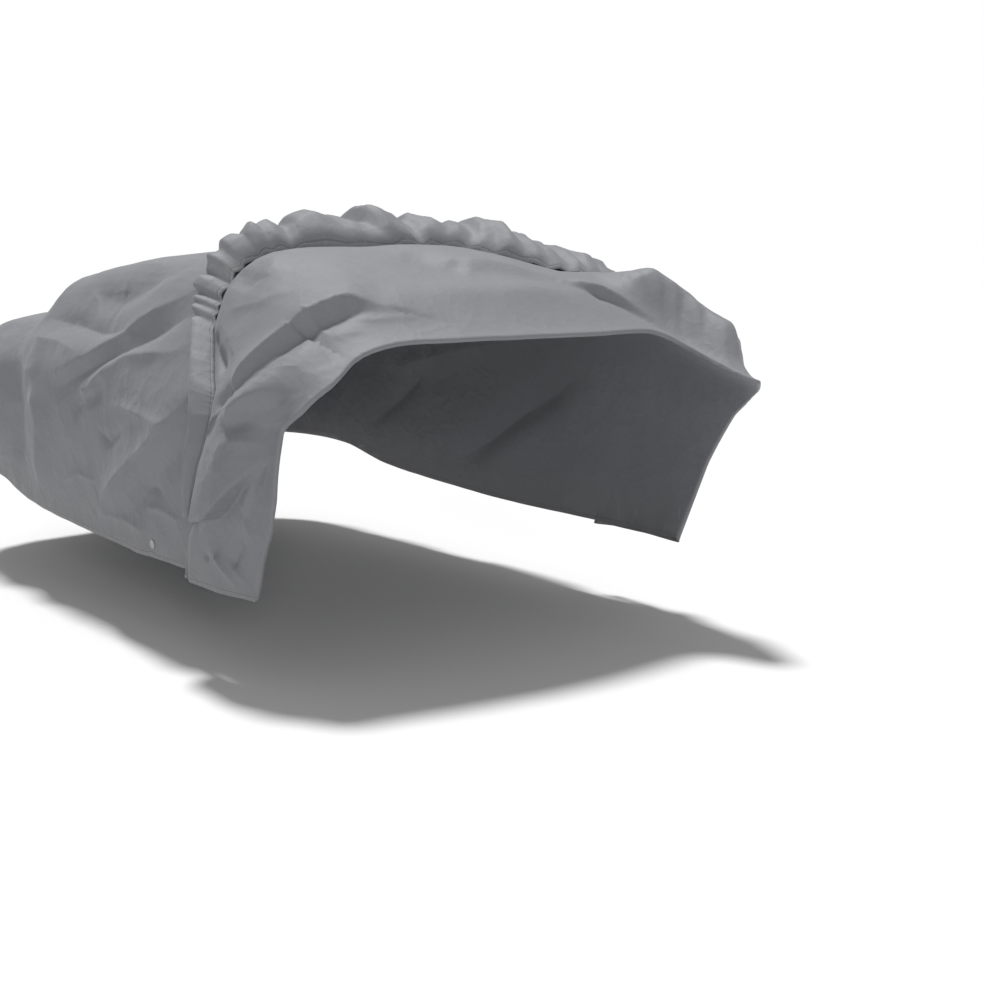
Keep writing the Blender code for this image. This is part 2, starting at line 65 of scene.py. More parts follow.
# ------------------------------------------------- the cloth: its draped form
# One sheet of coated polyester lies over tail, roof and sides. At its front it is folded back inside
# out, and its elastic hem is turned forward once more as a puffed flap. Every place on it is given by
# X and by girth: 0 near hem, 1 waist, 2 belt, 3 roof edge, 4 crown, and on to 8, the far hem.

ROOF_HEIGHT = 1.478
REAR_START = -1.35
REAR_LENGTH = 0.72
REAR_SINK = 0.20
SINK_POWER = 8
CORNER_POWER = 3.2
NEARLY_CLOSED = 0.999
EASE_ALONG = 0.09
EASE_ACROSS = 0.30
EASE_TURN = 0.045
EASE_STEPS = 7
NORMAL_STEP = 0.01

# Half width and height above the ground of each station of the girth, at each X.
Section = namedtuple("Section", "x hem_w hem_z waist_w waist_z belt_w belt_z edge_w edge_z crown_z")
SECTIONS = (
    Section(-2.15, 0.93, 0.460, 0.960, 0.78, 0.930, 0.95, 0.82, 1.035, 1.060),
    Section(-1.85, 0.93, 0.450, 0.960, 0.78, 0.940, 0.96, 0.82, 1.070, 1.095),
    Section(-1.55, 0.93, 0.440, 0.970, 0.77, 0.950, 0.98, 0.80, 1.125, 1.150),
    Section(-1.36, 0.93, 0.425, 0.970, 0.77, 0.950, 0.99, 0.77, 1.145, 1.180),
    Section(-1.20, 0.94, 0.380, 0.970, 0.76, 0.950, 1.00, 0.74, 1.210, 1.250),
    Section(-1.07, 0.94, 0.362, 0.975, 0.76, 0.950, 1.01, 0.71, 1.315, 1.357),
    Section(-0.90, 0.945, 0.347, 0.980, 0.76, 0.950, 1.01, 0.70, 1.357, 1.392),
    Section(-0.60, 0.95, 0.332, 0.980, 0.76, 0.955, 1.01, 0.70, 1.390, 1.430),
    Section(-0.30, 0.95, 0.318, 0.980, 0.76, 0.955, 1.01, 0.70, 1.415, 1.462),
    Section(0.00, 0.95, 0.312, 0.980, 0.76, 0.955, 1.01, 0.70, 1.432, 1.478),
    Section(0.30, 0.95, 0.315, 0.980, 0.75, 0.955, 1.00, 0.70, 1.425, 1.470),
    Section(0.50, 0.95, 0.315, 0.975, 0.75, 0.950, 1.00, 0.69, 1.405, 1.450),
    Section(0.70, 0.95, 0.315, 0.970, 0.74, 0.940, 0.99, 0.68, 1.365, 1.405),
    Section(0.90, 0.945, 0.315, 0.965, 0.73, 0.930, 0.99, 0.67, 1.290, 1.325),
    Section(1.20, 0.94, 0.315, 0.955, 0.72, 0.910, 0.98, 0.66, 1.150, 1.185),
    Section(1.55, 0.93, 0.315, 0.940, 0.70, 0.880, 0.96, 0.66, 1.010, 1.030),
)
STATIONS = 8

# X of the turned layer's front fold, and of its flap's rear edge and hem; the flap's puff and lift.
Turn = namedtuple("Turn", "girth front back hem puff lift")
TURNS = (
    Turn(0.00, 0.930, 0.440, 0.465, 0.010, 0.003),
    Turn(0.35, 0.985, 0.460, 0.485, 0.010, 0.003),
    Turn(0.49, 1.015, 0.520, 0.540, 0.012, 0.003),
    Turn(0.57, 1.035, 0.600, 0.620, 0.022, 0.003),
    Turn(0.85, 1.068, 0.630, 0.665, 0.050, 0.004),
    Turn(1.18, 1.075, 0.640, 0.698, 0.070, 0.004),
    Turn(1.63, 1.080, 0.632, 0.700, 0.080, 0.004),
    Turn(1.88, 1.160, 0.595, 0.670, 0.080, 0.004),
    Turn(2.10, 1.190, 0.532, 0.602, 0.076, 0.005),
    Turn(2.28, 1.210, 0.462, 0.538, 0.072, 0.005),
    Turn(2.42, 1.205, 0.400, 0.475, 0.070, 0.006),
    Turn(2.65, 1.190, 0.330, 0.435, 0.068, 0.007),
    Turn(2.85, 1.190, 0.300, 0.410, 0.088, 0.008),
    Turn(3.05, 1.195, 0.280, 0.400, 0.112, 0.010),
    Turn(3.16, 1.200, 0.270, 0.420, 0.112, 0.010),
    Turn(3.28, 1.210, 0.265, 0.440, 0.098, 0.010),
    Turn(3.42, 1.220, 0.260, 0.465, 0.136, 0.010),
    Turn(3.54, 1.225, 0.250, 0.490, 0.122, 0.010),
    Turn(3.66, 1.230, 0.250, 0.500, 0.098, 0.010),
    Turn(3.80, 1.240, 0.260, 0.505, 0.138, 0.010),
    Turn(3.99, 1.240, 0.270, 0.510, 0.086, 0.010),
    Turn(4.12, 1.240, 0.280, 0.515, 0.113, 0.010),
    Turn(4.22, 1.235, 0.300, 0.550, 0.102, 0.015),
    Turn(4.33, 1.230, 0.335, 0.620, 0.090, 0.015),
    Turn(4.46, 1.220, 0.370, 0.690, 0.130, 0.015),
    Turn(4.60, 1.205, 0.400, 0.755, 0.074, 0.015),
    Turn(4.67, 1.200, 0.410, 0.760, 0.090, 0.015),
    Turn(4.77, 1.190, 0.420, 0.755, 0.056, 0.015),
    Turn(4.92, 1.175, 0.430, 0.770, 0.070, 0.015),
    Turn(5.10, 1.200, 0.430, 0.800, 0.104, 0.018),
    Turn(5.22, 1.255, 0.430, 0.810, 0.130, 0.020),
    Turn(5.40, 1.460, 0.430, 0.790, 0.105, 0.020),
    Turn(5.65, 1.520, 0.440, 0.740, 0.060, 0.015),
    Turn(6.00, 1.450, 0.470, 0.700, 0.045, 0.010),
    Turn(6.50, 1.280, 0.540, 0.680, 0.040, 0.010),
    Turn(7.20, 1.120, 0.570, 0.630, 0.030, 0.010),
    Turn(8.00, 0.980, 0.450, 0.480, 0.014, 0.007),
)


def eased(at, rows, key, column, reach):
    """One column of a table, read at these places of its key, with its corners rounded off."""
    places = [getattr(row, key) for row in rows]
    values = [getattr(row, column) for row in rows]
    offsets = np.linspace(-reach, reach, EASE_STEPS)
    return np.mean([np.interp(at + offset, places, values) for offset in offsets], axis=0)


def draped(x, girth):
    """Points of the plain draped form, without layers or folds."""
    closing = np.clip((REAR_START - x) / REAR_LENGTH, 0.0, NEARLY_CLOSED)
    narrowing = (1.0 - closing ** CORNER_POWER) ** (1.0 / CORNER_POWER)
    sinking = 1.0 - REAR_SINK * closing ** SINK_POWER
    hem_z = eased(x, SECTIONS, "x", "hem_z", EASE_ALONG)

    def height(station):
        return hem_z + (eased(x, SECTIONS, "x", station + "_z", EASE_ALONG) - hem_z) * sinking

    half = [(eased(x, SECTIONS, "x", station + "_w", EASE_ALONG) * narrowing, height(station))
            for station in ("hem", "waist", "belt", "edge")]
    stations = [(-w, z) for w, z in half] + [(np.zeros_like(x), height("crown"))] + half[::-1]
    before = [2 * first - second for first, second in zip(stations[0], stations[1])]
    after = [2 * last - second for last, second in zip(stations[-1], stations[-2])]
    stations = [before] + stations + [after]
    offsets = np.linspace(-EASE_ACROSS, EASE_ACROSS, EASE_STEPS)
    shares = [np.mean([np.maximum(0.0, 1.0 - abs(girth + offset - station)) for offset in offsets], axis=0)
              for station in range(-1, STATIONS + 2)]
    y = sum(share * w for share, (w, z) in zip(shares, stations))
    z = sum(share * z for share, (w, z) in zip(shares, stations)) - ROOF_HEIGHT
    return np.stack([x, y, z], axis=-1)


def outward(x, girth):
    """Unit normals of the draped form."""
    along = draped(x + NORMAL_STEP, girth) - draped(x - NORMAL_STEP, girth)
    across = draped(x, girth + NORMAL_STEP) - draped(x, girth - NORMAL_STEP)
    normal = np.cross(along, across)
    return normal / np.linalg.norm(normal, axis=-1, keepdims=True)


def hung(x, girth, height):
    """Points that stand this far off the draped form."""
    return draped(x, girth) + outward(x, girth) * height[..., None]


def turn(girth, column):
    """One measure of the turned layer or of its flap at this girth."""
    return eased(girth, TURNS, "girth", column, EASE_TURN)


def smooth_step(value):
    """A smooth rise from 0 to 1."""
    value = np.clip(value, 0.0, 1.0)
    return value * value * (3.0 - 2.0 * value)


# ------------------------------------------------- the cloth: its folds
# Main folds, as the pulling back of the cloth left them. Each has its height, its reach behind and
# in front, how crisp it is (0 soft, 1 creased), and the places that it runs through, as X and girth.

Fold = namedtuple("Fold", "rise rear fore crisp path")
FOLD_ENDS = 0.25
FOLD_LEAST = 0.3
CREASE_FALL = 1.3
LOWER_FOLDS = (
    Fold(-0.030, 0.10, 0.07, 0.2, ((-0.72, 2.70), (-0.42, 2.58), (-0.12, 2.86))),
    Fold(0.014, 0.12, 0.10, 0.4, ((-1.00, 2.95), (-0.55, 2.98), (-0.20, 3.05))),
    Fold(0.007, 0.05, 0.02, 0.9, ((-0.74, 2.72), (-0.64, 2.60), (-0.54, 2.40), (-0.52, 2.30))),
    Fold(-0.030, 0.06, 0.05, 0.6, ((-1.00, 2.42), (-0.71, 2.36), (-0.44, 2.28), (-0.10, 2.32))),
    Fold(0.024, 0.08, 0.05, 0.8, ((-1.05, 2.15), (-0.75, 2.12), (-0.52, 2.02))),
    Fold(0.026, 0.10, 0.04, 0.8, ((-0.68, 1.70), (-0.42, 2.02), (-0.10, 2.42), (0.16, 2.68))),
    Fold(-0.030, 0.05, 0.05, 0.6,
         ((-0.66, 1.48), (-0.46, 1.80), (-0.22, 2.07), (0.00, 2.28), (0.24, 2.54))),
    Fold(0.024, 0.05, 0.04, 0.9, ((-0.42, 1.52), (-0.26, 1.86), (-0.10, 2.06), (0.26, 2.18))),
    Fold(0.014, 0.03, 0.03, 0.9, ((-0.46, 1.60), (-0.40, 1.50), (-0.30, 1.62))),
    Fold(-0.022, 0.06, 0.06, 0.5, ((-0.54, 1.08), (-0.40, 1.42), (-0.20, 1.68))),
    Fold(-0.012, 0.03, 0.03, 0.8, ((-0.26, 1.02), (-0.16, 0.92), (-0.02, 1.12))),
    Fold(0.012, 0.04, 0.02, 0.9, ((-0.12, 1.42), (0.10, 1.38), (0.40, 1.30))),
    Fold(0.046, 0.12, 0.040, 0.9, ((-0.30, 0.30), (-0.04, 0.66), (0.22, 1.05), (0.37, 1.45), (0.46, 1.74))),
    Fold(-0.028, 0.07, 0.09, 0.4, ((-0.06, 0.30), (0.19, 0.70), (0.38, 1.05), (0.50, 1.40))),
    Fold(0.008, 0.02, 0.02, 0.8, ((-0.30, 0.22), (-0.10, 0.24), (0.08, 0.20))),
    Fold(0.008, 0.02, 0.02, 0.8, ((0.06, 0.40), (0.22, 0.44), (0.38, 0.40))),
    Fold(-0.008, 0.02, 0.02, 0.6, ((0.02, 0.56), (0.14, 0.60), (0.24, 0.56))),
    Fold(0.007, 0.02, 0.02, 0.8, ((-0.62, 0.40), (-0.48, 0.52), (-0.30, 0.50))),
    Fold(0.034, 0.07, 0.07, 0.2, ((-1.36, 2.20), (-1.30, 1.30), (-1.34, 0.40))),
    Fold(-0.026, 0.08, 0.08, 0.2, ((-1.16, 1.90), (-1.08, 1.10), (-1.14, 0.30))),
    Fold(0.027, 0.08, 0.08, 0.4, ((-0.92, 1.60), (-0.84, 0.90), (-0.92, 0.20))),
    Fold(0.051, 0.09, 0.09, 0.4, ((-1.42, 5.32), (-1.00, 5.10), (-0.40, 5.20), (0.20, 5.00))),
    Fold(-0.051, 0.07, 0.08, 0.3, ((-1.10, 5.70), (-0.50, 5.62), (0.10, 5.35))),
    Fold(0.054, 0.08, 0.07, 0.5, ((-0.50, 7.70), (-0.10, 7.10), (0.30, 6.40))),
    Fold(-0.037, 0.08, 0.07, 0.3, ((-1.00, 6.60), (-0.60, 6.20), (-0.10, 5.90))),
    Fold(0.020, 0.05, 0.04, 0.7, ((-1.20, 7.50), (-0.90, 6.90), (-0.70, 6.20))),
    Fold(-0.032, 0.10, 0.06, 0.3, ((-1.17, 2.40), (-1.19, 2.90), (-1.19, 3.50))),
    Fold(0.018, 0.05, 0.06, 0.5, ((-1.03, 2.50), (-1.04, 3.00), (-1.03, 3.60))),
    Fold(0.015, 0.12, 0.12, 0.2, ((-0.85, 3.55), (-0.78, 4.00), (-0.90, 4.60))),
    Fold(0.015, 0.14, 0.12, 0.2, ((-1.60, 3.50), (-1.50, 4.00), (-1.60, 4.70))),
)
TURNED_FOLDS = (
    Fold(0.058, 0.20, 0.027, 0.7,
         ((0.80, 1.75), (0.86, 2.05), (0.90, 2.31), (0.93, 2.56), (0.96, 2.80), (0.98, 3.00), (1.04, 3.20))),
    Fold(-0.018, 0.02, 0.04, 0.5, ((0.94, 2.20), (0.98, 2.60), (1.01, 2.85), (1.03, 3.05))),
    Fold(0.009, 0.02, 0.02, 0.9, ((0.90, 2.76), (0.99, 2.72), (1.06, 2.74))),
    Fold(-0.032, 0.03, 0.03, 0.3, ((0.50, 2.38), (0.58, 2.25), (0.68, 2.12), (0.71, 2.02))),
    Fold(-0.030, 0.03, 0.03, 0.4, ((0.86, 1.96), (0.81, 1.84), (0.76, 1.68))),
    Fold(0.010, 0.06, 0.03, 0.8, ((0.54, 2.55), (0.64, 2.63), (0.72, 2.70), (0.80, 2.85))),
    Fold(-0.014, 0.04, 0.04, 0.2, ((0.44, 2.84), (0.52, 2.80), (0.61, 2.79))),
    Fold(0.014, 0.07, 0.06, 0.4, ((0.50, 3.10), (0.58, 2.98), (0.62, 2.85))),
    Fold(0.012, 0.04, 0.016, 0.9, ((1.04, 2.94), (1.08, 3.10), (1.10, 3.36))),
    Fold(0.012, 0.05, 0.016, 0.9, ((1.06, 2.70), (1.09, 2.88), (1.13, 3.00))),
    Fold(-0.016, 0.04, 0.05, 0.3, ((1.11, 2.46), (1.14, 2.60), (1.15, 2.74))),
    Fold(-0.022, 0.08, 0.08, 0.2, ((0.68, 3.66), (0.76, 3.82), (0.84, 3.96))),
    Fold(0.036, 0.05, 0.035, 0.6, ((0.84, 1.66), (0.95, 1.85), (1.08, 2.04))),
    Fold(-0.033, 0.035, 0.04, 0.6, ((0.88, 1.54), (1.00, 1.78), (1.12, 1.92))),
    Fold(0.016, 0.03, 0.02, 0.9, ((0.88, 1.36), (0.98, 1.42), (1.08, 1.50))),
    Fold(0.015, 0.08, 0.08, 0.2, ((0.96, 3.40), (1.00, 4.00), (0.98, 4.50))),
    Fold(0.024, 0.10, 0.06, 0.3, ((0.74, 3.75), (0.80, 4.10), (0.86, 4.40))),
    Fold(0.145, 0.16, 0.09, 0.2,
         ((0.80, 5.00), (0.95, 5.10), (1.08, 5.34), (1.20, 5.48), (1.32, 5.64), (1.40, 5.76))),
    Fold(0.035, 0.10, 0.08, 0.3, ((0.82, 5.25), (0.84, 5.50), (0.88, 6.00))),
    Fold(0.032, 0.06, 0.018, 0.8, ((0.91, 4.52), (0.98, 4.72), (1.04, 4.84), (1.11, 5.02), (1.22, 5.18))),
    Fold(-0.022, 0.014, 0.04, 0.5, ((0.96, 4.60), (1.02, 4.76), (1.08, 4.88), (1.15, 5.06))),
    Fold(0.045, 0.08, 0.06, 0.4, ((0.90, 6.20), (0.84, 7.00), (0.86, 7.60))),
    Fold(0.022, 0.018, 0.020, 0.8, ((0.70, 0.30), (0.75, 0.27), (0.80, 0.17), (0.85, 0.06))),
    Fold(0.014, 0.014, 0.014, 0.8, ((0.79, 0.29), (0.86, 0.17), (0.92, 0.07))),
    Fold(0.030, 0.05, 0.018, 0.9, ((1.00, 1.16), (0.95, 0.88), (0.91, 0.66))),
    Fold(0.026, 0.03, 0.030, 0.9, ((0.91, 0.66), (0.94, 0.52), (1.00, 0.36))),
    Fold(-0.024, 0.025, 0.03, 0.7, ((0.90, 0.52), (0.85, 0.36), (0.81, 0.22))),
    Fold(-0.010, 0.012, 0.012, 0.4, ((0.63, 0.27), (0.67, 0.25))),
)

# The near side's turned layer sags in a pocket: above this line it hangs clear and its lip droops.
# The four X values are where it starts, is full, starts to fade and ends.
OVERHANG_LINE = ((0.40, 0.53), (0.67, 0.54), (0.76, 0.62), (0.88, 0.82), (0.99, 1.08), (1.10, 1.40),
                 (1.20, 1.90))
OVERHANG_RISE = 0.085
OVERHANG_EDGE = 0.015
OVERHANG_REACH = 0.42
OVERHANG_LEAST = 0.75
OVERHANG_FULL = (0.60, 0.80, 1.00, 1.16)
OVERHANG_TOP = 2.6
DROOP = 0.026
DROOP_PLACE = 0.022
DROOP_REACH = 0.022
DROOP_WAY = (0.45, 0.0, -0.89)

# Between the folds the cloth is crumpled: broad shallow hollows with soft ridges between them.
Crumple = namedtuple("Crumple", "size rise")
CRUMPLES = (Crumple(0.30, 0.024), Crumple(0.12, 0.010))
CRUMPLE_PULL = 0.45
CRUMPLE_WAY = (0.80, 0.0, 0.60)
CRUMPLE_SOFT = 14.0
CRUMPLE_MEAN = 0.16
CRUMPLE_SHARE = 2.5


def beside(point, x, girth, path):
    """Distance to a path, negative on its rear or upper side, and the share of the way along it."""
    stops = np.array(path)
    corners = draped(stops[:, 0], stops[:, 1])
    lengths = np.linalg.norm(np.diff(corners, axis=0), axis=1)
    nearest = np.full_like(x, np.inf)
    side = np.ones_like(x)
    share = np.zeros_like(x)
    for number, length in enumerate(lengths):
        start, end = corners[number], corners[number + 1]
        along = np.clip((point - start) @ (end - start) / length ** 2, 0.0, 1.0)
        distance = np.linalg.norm(point - start - along[..., None] * (end - start), axis=-1)
        (x0, g0), (x1, g1) = stops[number], stops[number + 1]
        ahead = (x - x0) * (g1 - g0) - (girth - g0) * (x1 - x0)
        closer = distance < nearest
        nearest = np.where(closer, distance, nearest)
        way = 1.0 if g1 > g0 or (g1 == g0 and x1 < x0) else -1.0
        side = np.where(closer, np.sign(ahead * way), side)
        share = np.where(closer, (lengths[:number].sum() + along * length) / lengths.sum(), share)
    return nearest * side, share


def relief(x, girth, folds):
    """Height of these folds at each place."""
    total = np.zeros_like(x)
    point = draped(x, girth)
    for fold in folds:
        distance, share = beside(point, x, girth, fold.path)
        reach = np.where(distance > 0.0, fold.fore, fold.rear)
        ends = FOLD_LEAST + (1.0 - FOLD_LEAST) * smooth_step(np.minimum(share, 1.0 - share) / FOLD_ENDS)
        away = abs(distance) / reach
        soft = np.exp(-away ** 2)
        creased = np.exp(-CREASE_FALL * away)
        total = total + fold.rise * ends * (soft + fold.crisp * (creased - soft))
    return total


def pocket(x, girth):
    """How far the sagging pocket hangs clear, and by how much its lip droops, at each place."""
    above = -beside(draped(x, girth), x, girth, OVERHANG_LINE)[0]
    start, full, fading, finish = OVERHANG_FULL
    middle = smooth_step((x - start) / (full - start)) * smooth_step((finish - x) / (finish - fading))
    clear = smooth_step(above / OVERHANG_EDGE) * (1.0 - smooth_step(above / OVERHANG_REACH))
    clear = clear * (OVERHANG_LEAST + (1.0 - OVERHANG_LEAST) * middle) * (girth < OVERHANG_TOP)
    droop = np.exp(-((above - DROOP_PLACE) / DROOP_REACH) ** 2) * middle * (girth < OVERHANG_TOP)
    return OVERHANG_RISE * clear, DROOP * droop[..., None] * np.array(DROOP_WAY)


def crumpled(points, seed, crumples):
    """Height of the crumpling at these places."""
    cells = np.cross(np.diff(points, axis=0)[:, 1:], np.diff(points, axis=1)[1:])
    area = np.linalg.norm(cells, axis=-1).sum()
    way = np.array(CRUMPLE_WAY)
    places = points.reshape(-1, 3) @ (np.eye(3) - CRUMPLE_PULL * np.outer(way, way))
    picker = np.random.default_rng(seed)
    total = np.zeros(len(places))
    for crumple in crumples:
        count = int(CRUMPLE_SHARE * area / crumple.size ** 2)
        middles = places[picker.choice(len(places), count, replace=False)]
        close = np.zeros(len(places))
        for middle in middles:
            close += np.exp(-CRUMPLE_SOFT / crumple.size ** 2 * ((places - middle) ** 2).sum(axis=1))
        hollow = -np.log(close + np.exp(-CRUMPLE_SOFT)) / CRUMPLE_SOFT
        total += crumple.rise * (hollow - CRUMPLE_MEAN)
    return total.reshape(points.shape[:-1])


# ------------------------------------------------- the cloth: its gathered hem
# The elastic draws the flap's hem together, so that the flap is ruffled along it. The ruffles on
# the near side stand as they fell; those over the far half of the roof lean and are more even.

LAYER_GAP = 0.020
MIDDLE = 0.0008

# The flap's profile, step by step from the turned layer up and round to the hem: its way forward as
# a share of the flap's depth, and its height as a share of the puff, on the sides and on the roof.
Roll = namedtuple("Roll", "side_forward side_height roof_forward roof_height")
ROLL = (
    Roll(0.40, 0.00, 0.40, 0.00),
    Roll(0.10, 0.02, 0.10, 0.02),
    Roll(-0.08, 0.18, -0.10, 0.20),
    Roll(-0.15, 0.52, -0.16, 0.50),
    Roll(-0.10, 0.86, -0.04, 0.82),
    Roll(0.06, 1.00, 0.20, 1.00),
    Roll(0.36, 0.84, 0.58, 0.95),
    Roll(0.70, 0.48, 0.90, 0.60),
    Roll(1.00, 0.00, 1.00, 0.00),
)
ROLL_LAST = len(ROLL) - 1
ROLL_EASE = 0.35
ROOF_FROM = 2.6
ROOF_FULL = 3.3

# Each gather has its girth at the hem and at its crest, and how far it stands out.
Gather = namedtuple("Gather", "hem crest rise")
NEAR_GATHERS = (
    Gather(0.00, 0.00, 0.000),
    Gather(0.60, 0.60, 0.000),
    Gather(0.95, 0.95, 0.003),
    Gather(1.40, 1.40, -0.002),
    Gather(1.90, 1.92, 0.003),
    Gather(2.30, 2.32, 0.001),
    Gather(2.40, 2.40, 0.004),
    Gather(2.45, 2.45, -0.012),
    Gather(2.50, 2.50, 0.011),
    Gather(2.54, 2.54, -0.006),
    Gather(2.58, 2.58, 0.010),
    Gather(2.62, 2.62, -0.012),
    Gather(2.67, 2.67, 0.013),
    Gather(2.71, 2.72, 0.004),
    Gather(2.77, 2.76, -0.022),
    Gather(2.86, 2.85, 0.014),
    Gather(2.91, 2.91, -0.010),
    Gather(2.95, 2.96, 0.011),
    Gather(3.00, 3.01, 0.002),
    Gather(3.05, 3.07, -0.018),
    Gather(3.11, 3.13, 0.010),
    Gather(3.15, 3.17, -0.008),
    Gather(3.19, 3.22, 0.012),
    Gather(3.24, 3.30, -0.020),
    Gather(3.32, 3.35, 0.008),
    Gather(3.46, 3.46, 0.010),
    Gather(3.56, 3.56, -0.006),
    Gather(3.66, 3.62, 0.004),
    Gather(3.84, 3.68, -0.024),
    Gather(3.90, 3.74, 0.010),
    Gather(3.97, 3.88, 0.012),
    Gather(4.02, 3.98, -0.018),
    Gather(4.07, 4.06, 0.008),
)
FAR_GATHERS = (4.12, 7.40)
FAR_PITCH = (0.04, 0.09)
FAR_RISE = (0.004, 0.013)
FAR_LEAN = 0.14
FAR_LEAN_END = 5.4
GATHER_EASE = 0.008
GATHER_START = 1.5
GATHER_FULL = 3.5
GATHER_HEM = 0.6
CREST = 5.0
SCALLOP = 0.5
FLAP_CRUMPLES = (Crumple(0.07, 0.026),)
CRUMPLE_HEM = 2.5
FAR_SEED = 4
FLAP_SEED = 5


def all_gathers():
    """The near gathers as they are, and the far ones at an uneven pitch."""
    gathers = list(NEAR_GATHERS)
    picker = np.random.default_rng(FAR_SEED)
    girth, sign = FAR_GATHERS[0], -1.0
    while girth < FAR_GATHERS[1]:
        lean = FAR_LEAN * smooth_step(FAR_LEAN_END - girth)
        gathers.append(Gather(girth, girth + lean, sign * picker.uniform(*FAR_RISE)))
        girth += picker.uniform(*FAR_PITCH)
        sign = -sign
    return gathers + [Gather(STATIONS, STATIONS, 0.0)]


def ruffled(girth, at):
    """Height of the gathers at each row of the flap."""
    hem, crest, rise = np.array(all_gathers()).T
    offsets = np.linspace(-GATHER_EASE, GATHER_EASE, EASE_STEPS)
    rows = []
    for row in at[:, 0]:
        places = hem + (crest - hem) * min(1.0, (ROLL_LAST - row) / (ROLL_LAST - CREST))
        rows.append(np.mean([np.interp(girth + offset, places, rise) for offset in offsets], axis=0))
    rising = smooth_step((at - GATHER_START) / (GATHER_FULL - GATHER_START))
    return np.array(rows) * rising * (1.0 - (1.0 - GATHER_HEM) * smooth_step(at - ROLL_LAST + 1.0))


def flap_points(girth, place, count):
    """The flap, rolled up from the turned layer to its rear edge and forward to the hem."""
    back, hem, puff = turn(girth, "back"), turn(girth, "hem"), turn(girth, "puff")
    at = ROLL_LAST * np.arange(count + 1)[:, None] / count
    ease = ROLL_EASE * np.minimum(1.0, np.minimum(at, ROLL_LAST - at) / ROLL_EASE)
    offsets = np.linspace(-1.0, 1.0, EASE_STEPS)
    roof = smooth_step((girth - ROOF_FROM) / (ROOF_FULL - ROOF_FROM))

    def rolled(column):
        places = [at + ease * offset for offset in offsets]
        side, top = ([getattr(roll, part + column) for roll in ROLL] for part in ("side_", "roof_"))
        side, top = (np.mean([np.interp(one, np.arange(len(ROLL)), part) for one in places], axis=0)
                     for part in (side, top))
        return side + (top - side) * roof

    way, height = rolled("forward"), rolled("height")
    standing = smooth_step((at - GATHER_START) / (GATHER_FULL - GATHER_START))
    standing = standing * smooth_step((ROLL_LAST - at) / CRUMPLE_HEM)
    plain = back + way * (hem - back)
    over_flap = crumpled(draped(plain, girth), FLAP_SEED, FLAP_CRUMPLES)
    ruffle = ruffled(girth, at) + standing * over_flap
    x = plain - SCALLOP * ruffle
    clear, droop = pocket(x, girth)
    lifted = turn(girth, "lift") * smooth_step(at - ROLL_LAST + 1.0)
    stand = np.maximum(height * puff + lifted + ruffle, lifted * height)
    return hung(x, place, MIDDLE + LAYER_GAP + clear + stand) + droop


# ------------------------------------------------- the cloth: one sheet
# All layers are one woven sheet of 1.5 mm, rear face and folded flap included, and it is meshed as
# one: fine where it folds and coarse where it is plain. Its two UV maps are in metres: "cut" lies
# along and across the sheet, and "hem" gives the distance from the nearest cut edge and along it.

SIDE_CELLS = (16, 8, 19)
ROOF_CELLS = 17
CLOSING_CELLS = 9
SHOWN_CELLS = 48
HIDDEN_CELLS = 8
FOLD_CELLS = 2
TURNED_CELLS = 27
FLAP_CELLS = 14
FINE = 4
KEPT_SHARE = 0.205
CLOTH = 0.0015
WELD = 0.00002

FOLD_RADIUS = 0.5 * LAYER_GAP
FOLD_REACH = 0.22
TURNED_LOFT = 0.030
TURNED_DROP = 0.045
LOFT_REACH = 0.08
LOFT_START = 0.02
HIDDEN_FADE = 0.12
REAR_END = 0.93
REAR_SPREAD = 0.75
REAR_BULGE = 0.035
REAR_FULL = 2.0
LOWER_SEED = 3
TURNED_SEED = 8

# The lower layer lies calm round the disc, and the turned one over the roof.
DISC_PLACE = (0.15, 0.12)
DISC_CALM = (0.03, 0.14)
STATION_LENGTH = 0.45
APRON_START = 2.2
APRON_END = 5.6
APRON_EASE = 0.8
APRON_LEFT = 0.35


def girth_columns():
    """Girths of the grid's columns, the same on both sides."""
    near = []
    for station, count in enumerate(SIDE_CELLS + (ROOF_CELLS,)):
        near += [station + step / (count * FINE) for step in range(count * FINE)]
    return np.array(near + [0.5 * STATIONS] + [STATIONS - position for position in reversed(near)])


def spread(start, end, cells):
    """Rows from start up to just before end."""
    return start + (end - start) * np.arange(cells * FINE)[:, None] / (cells * FINE)


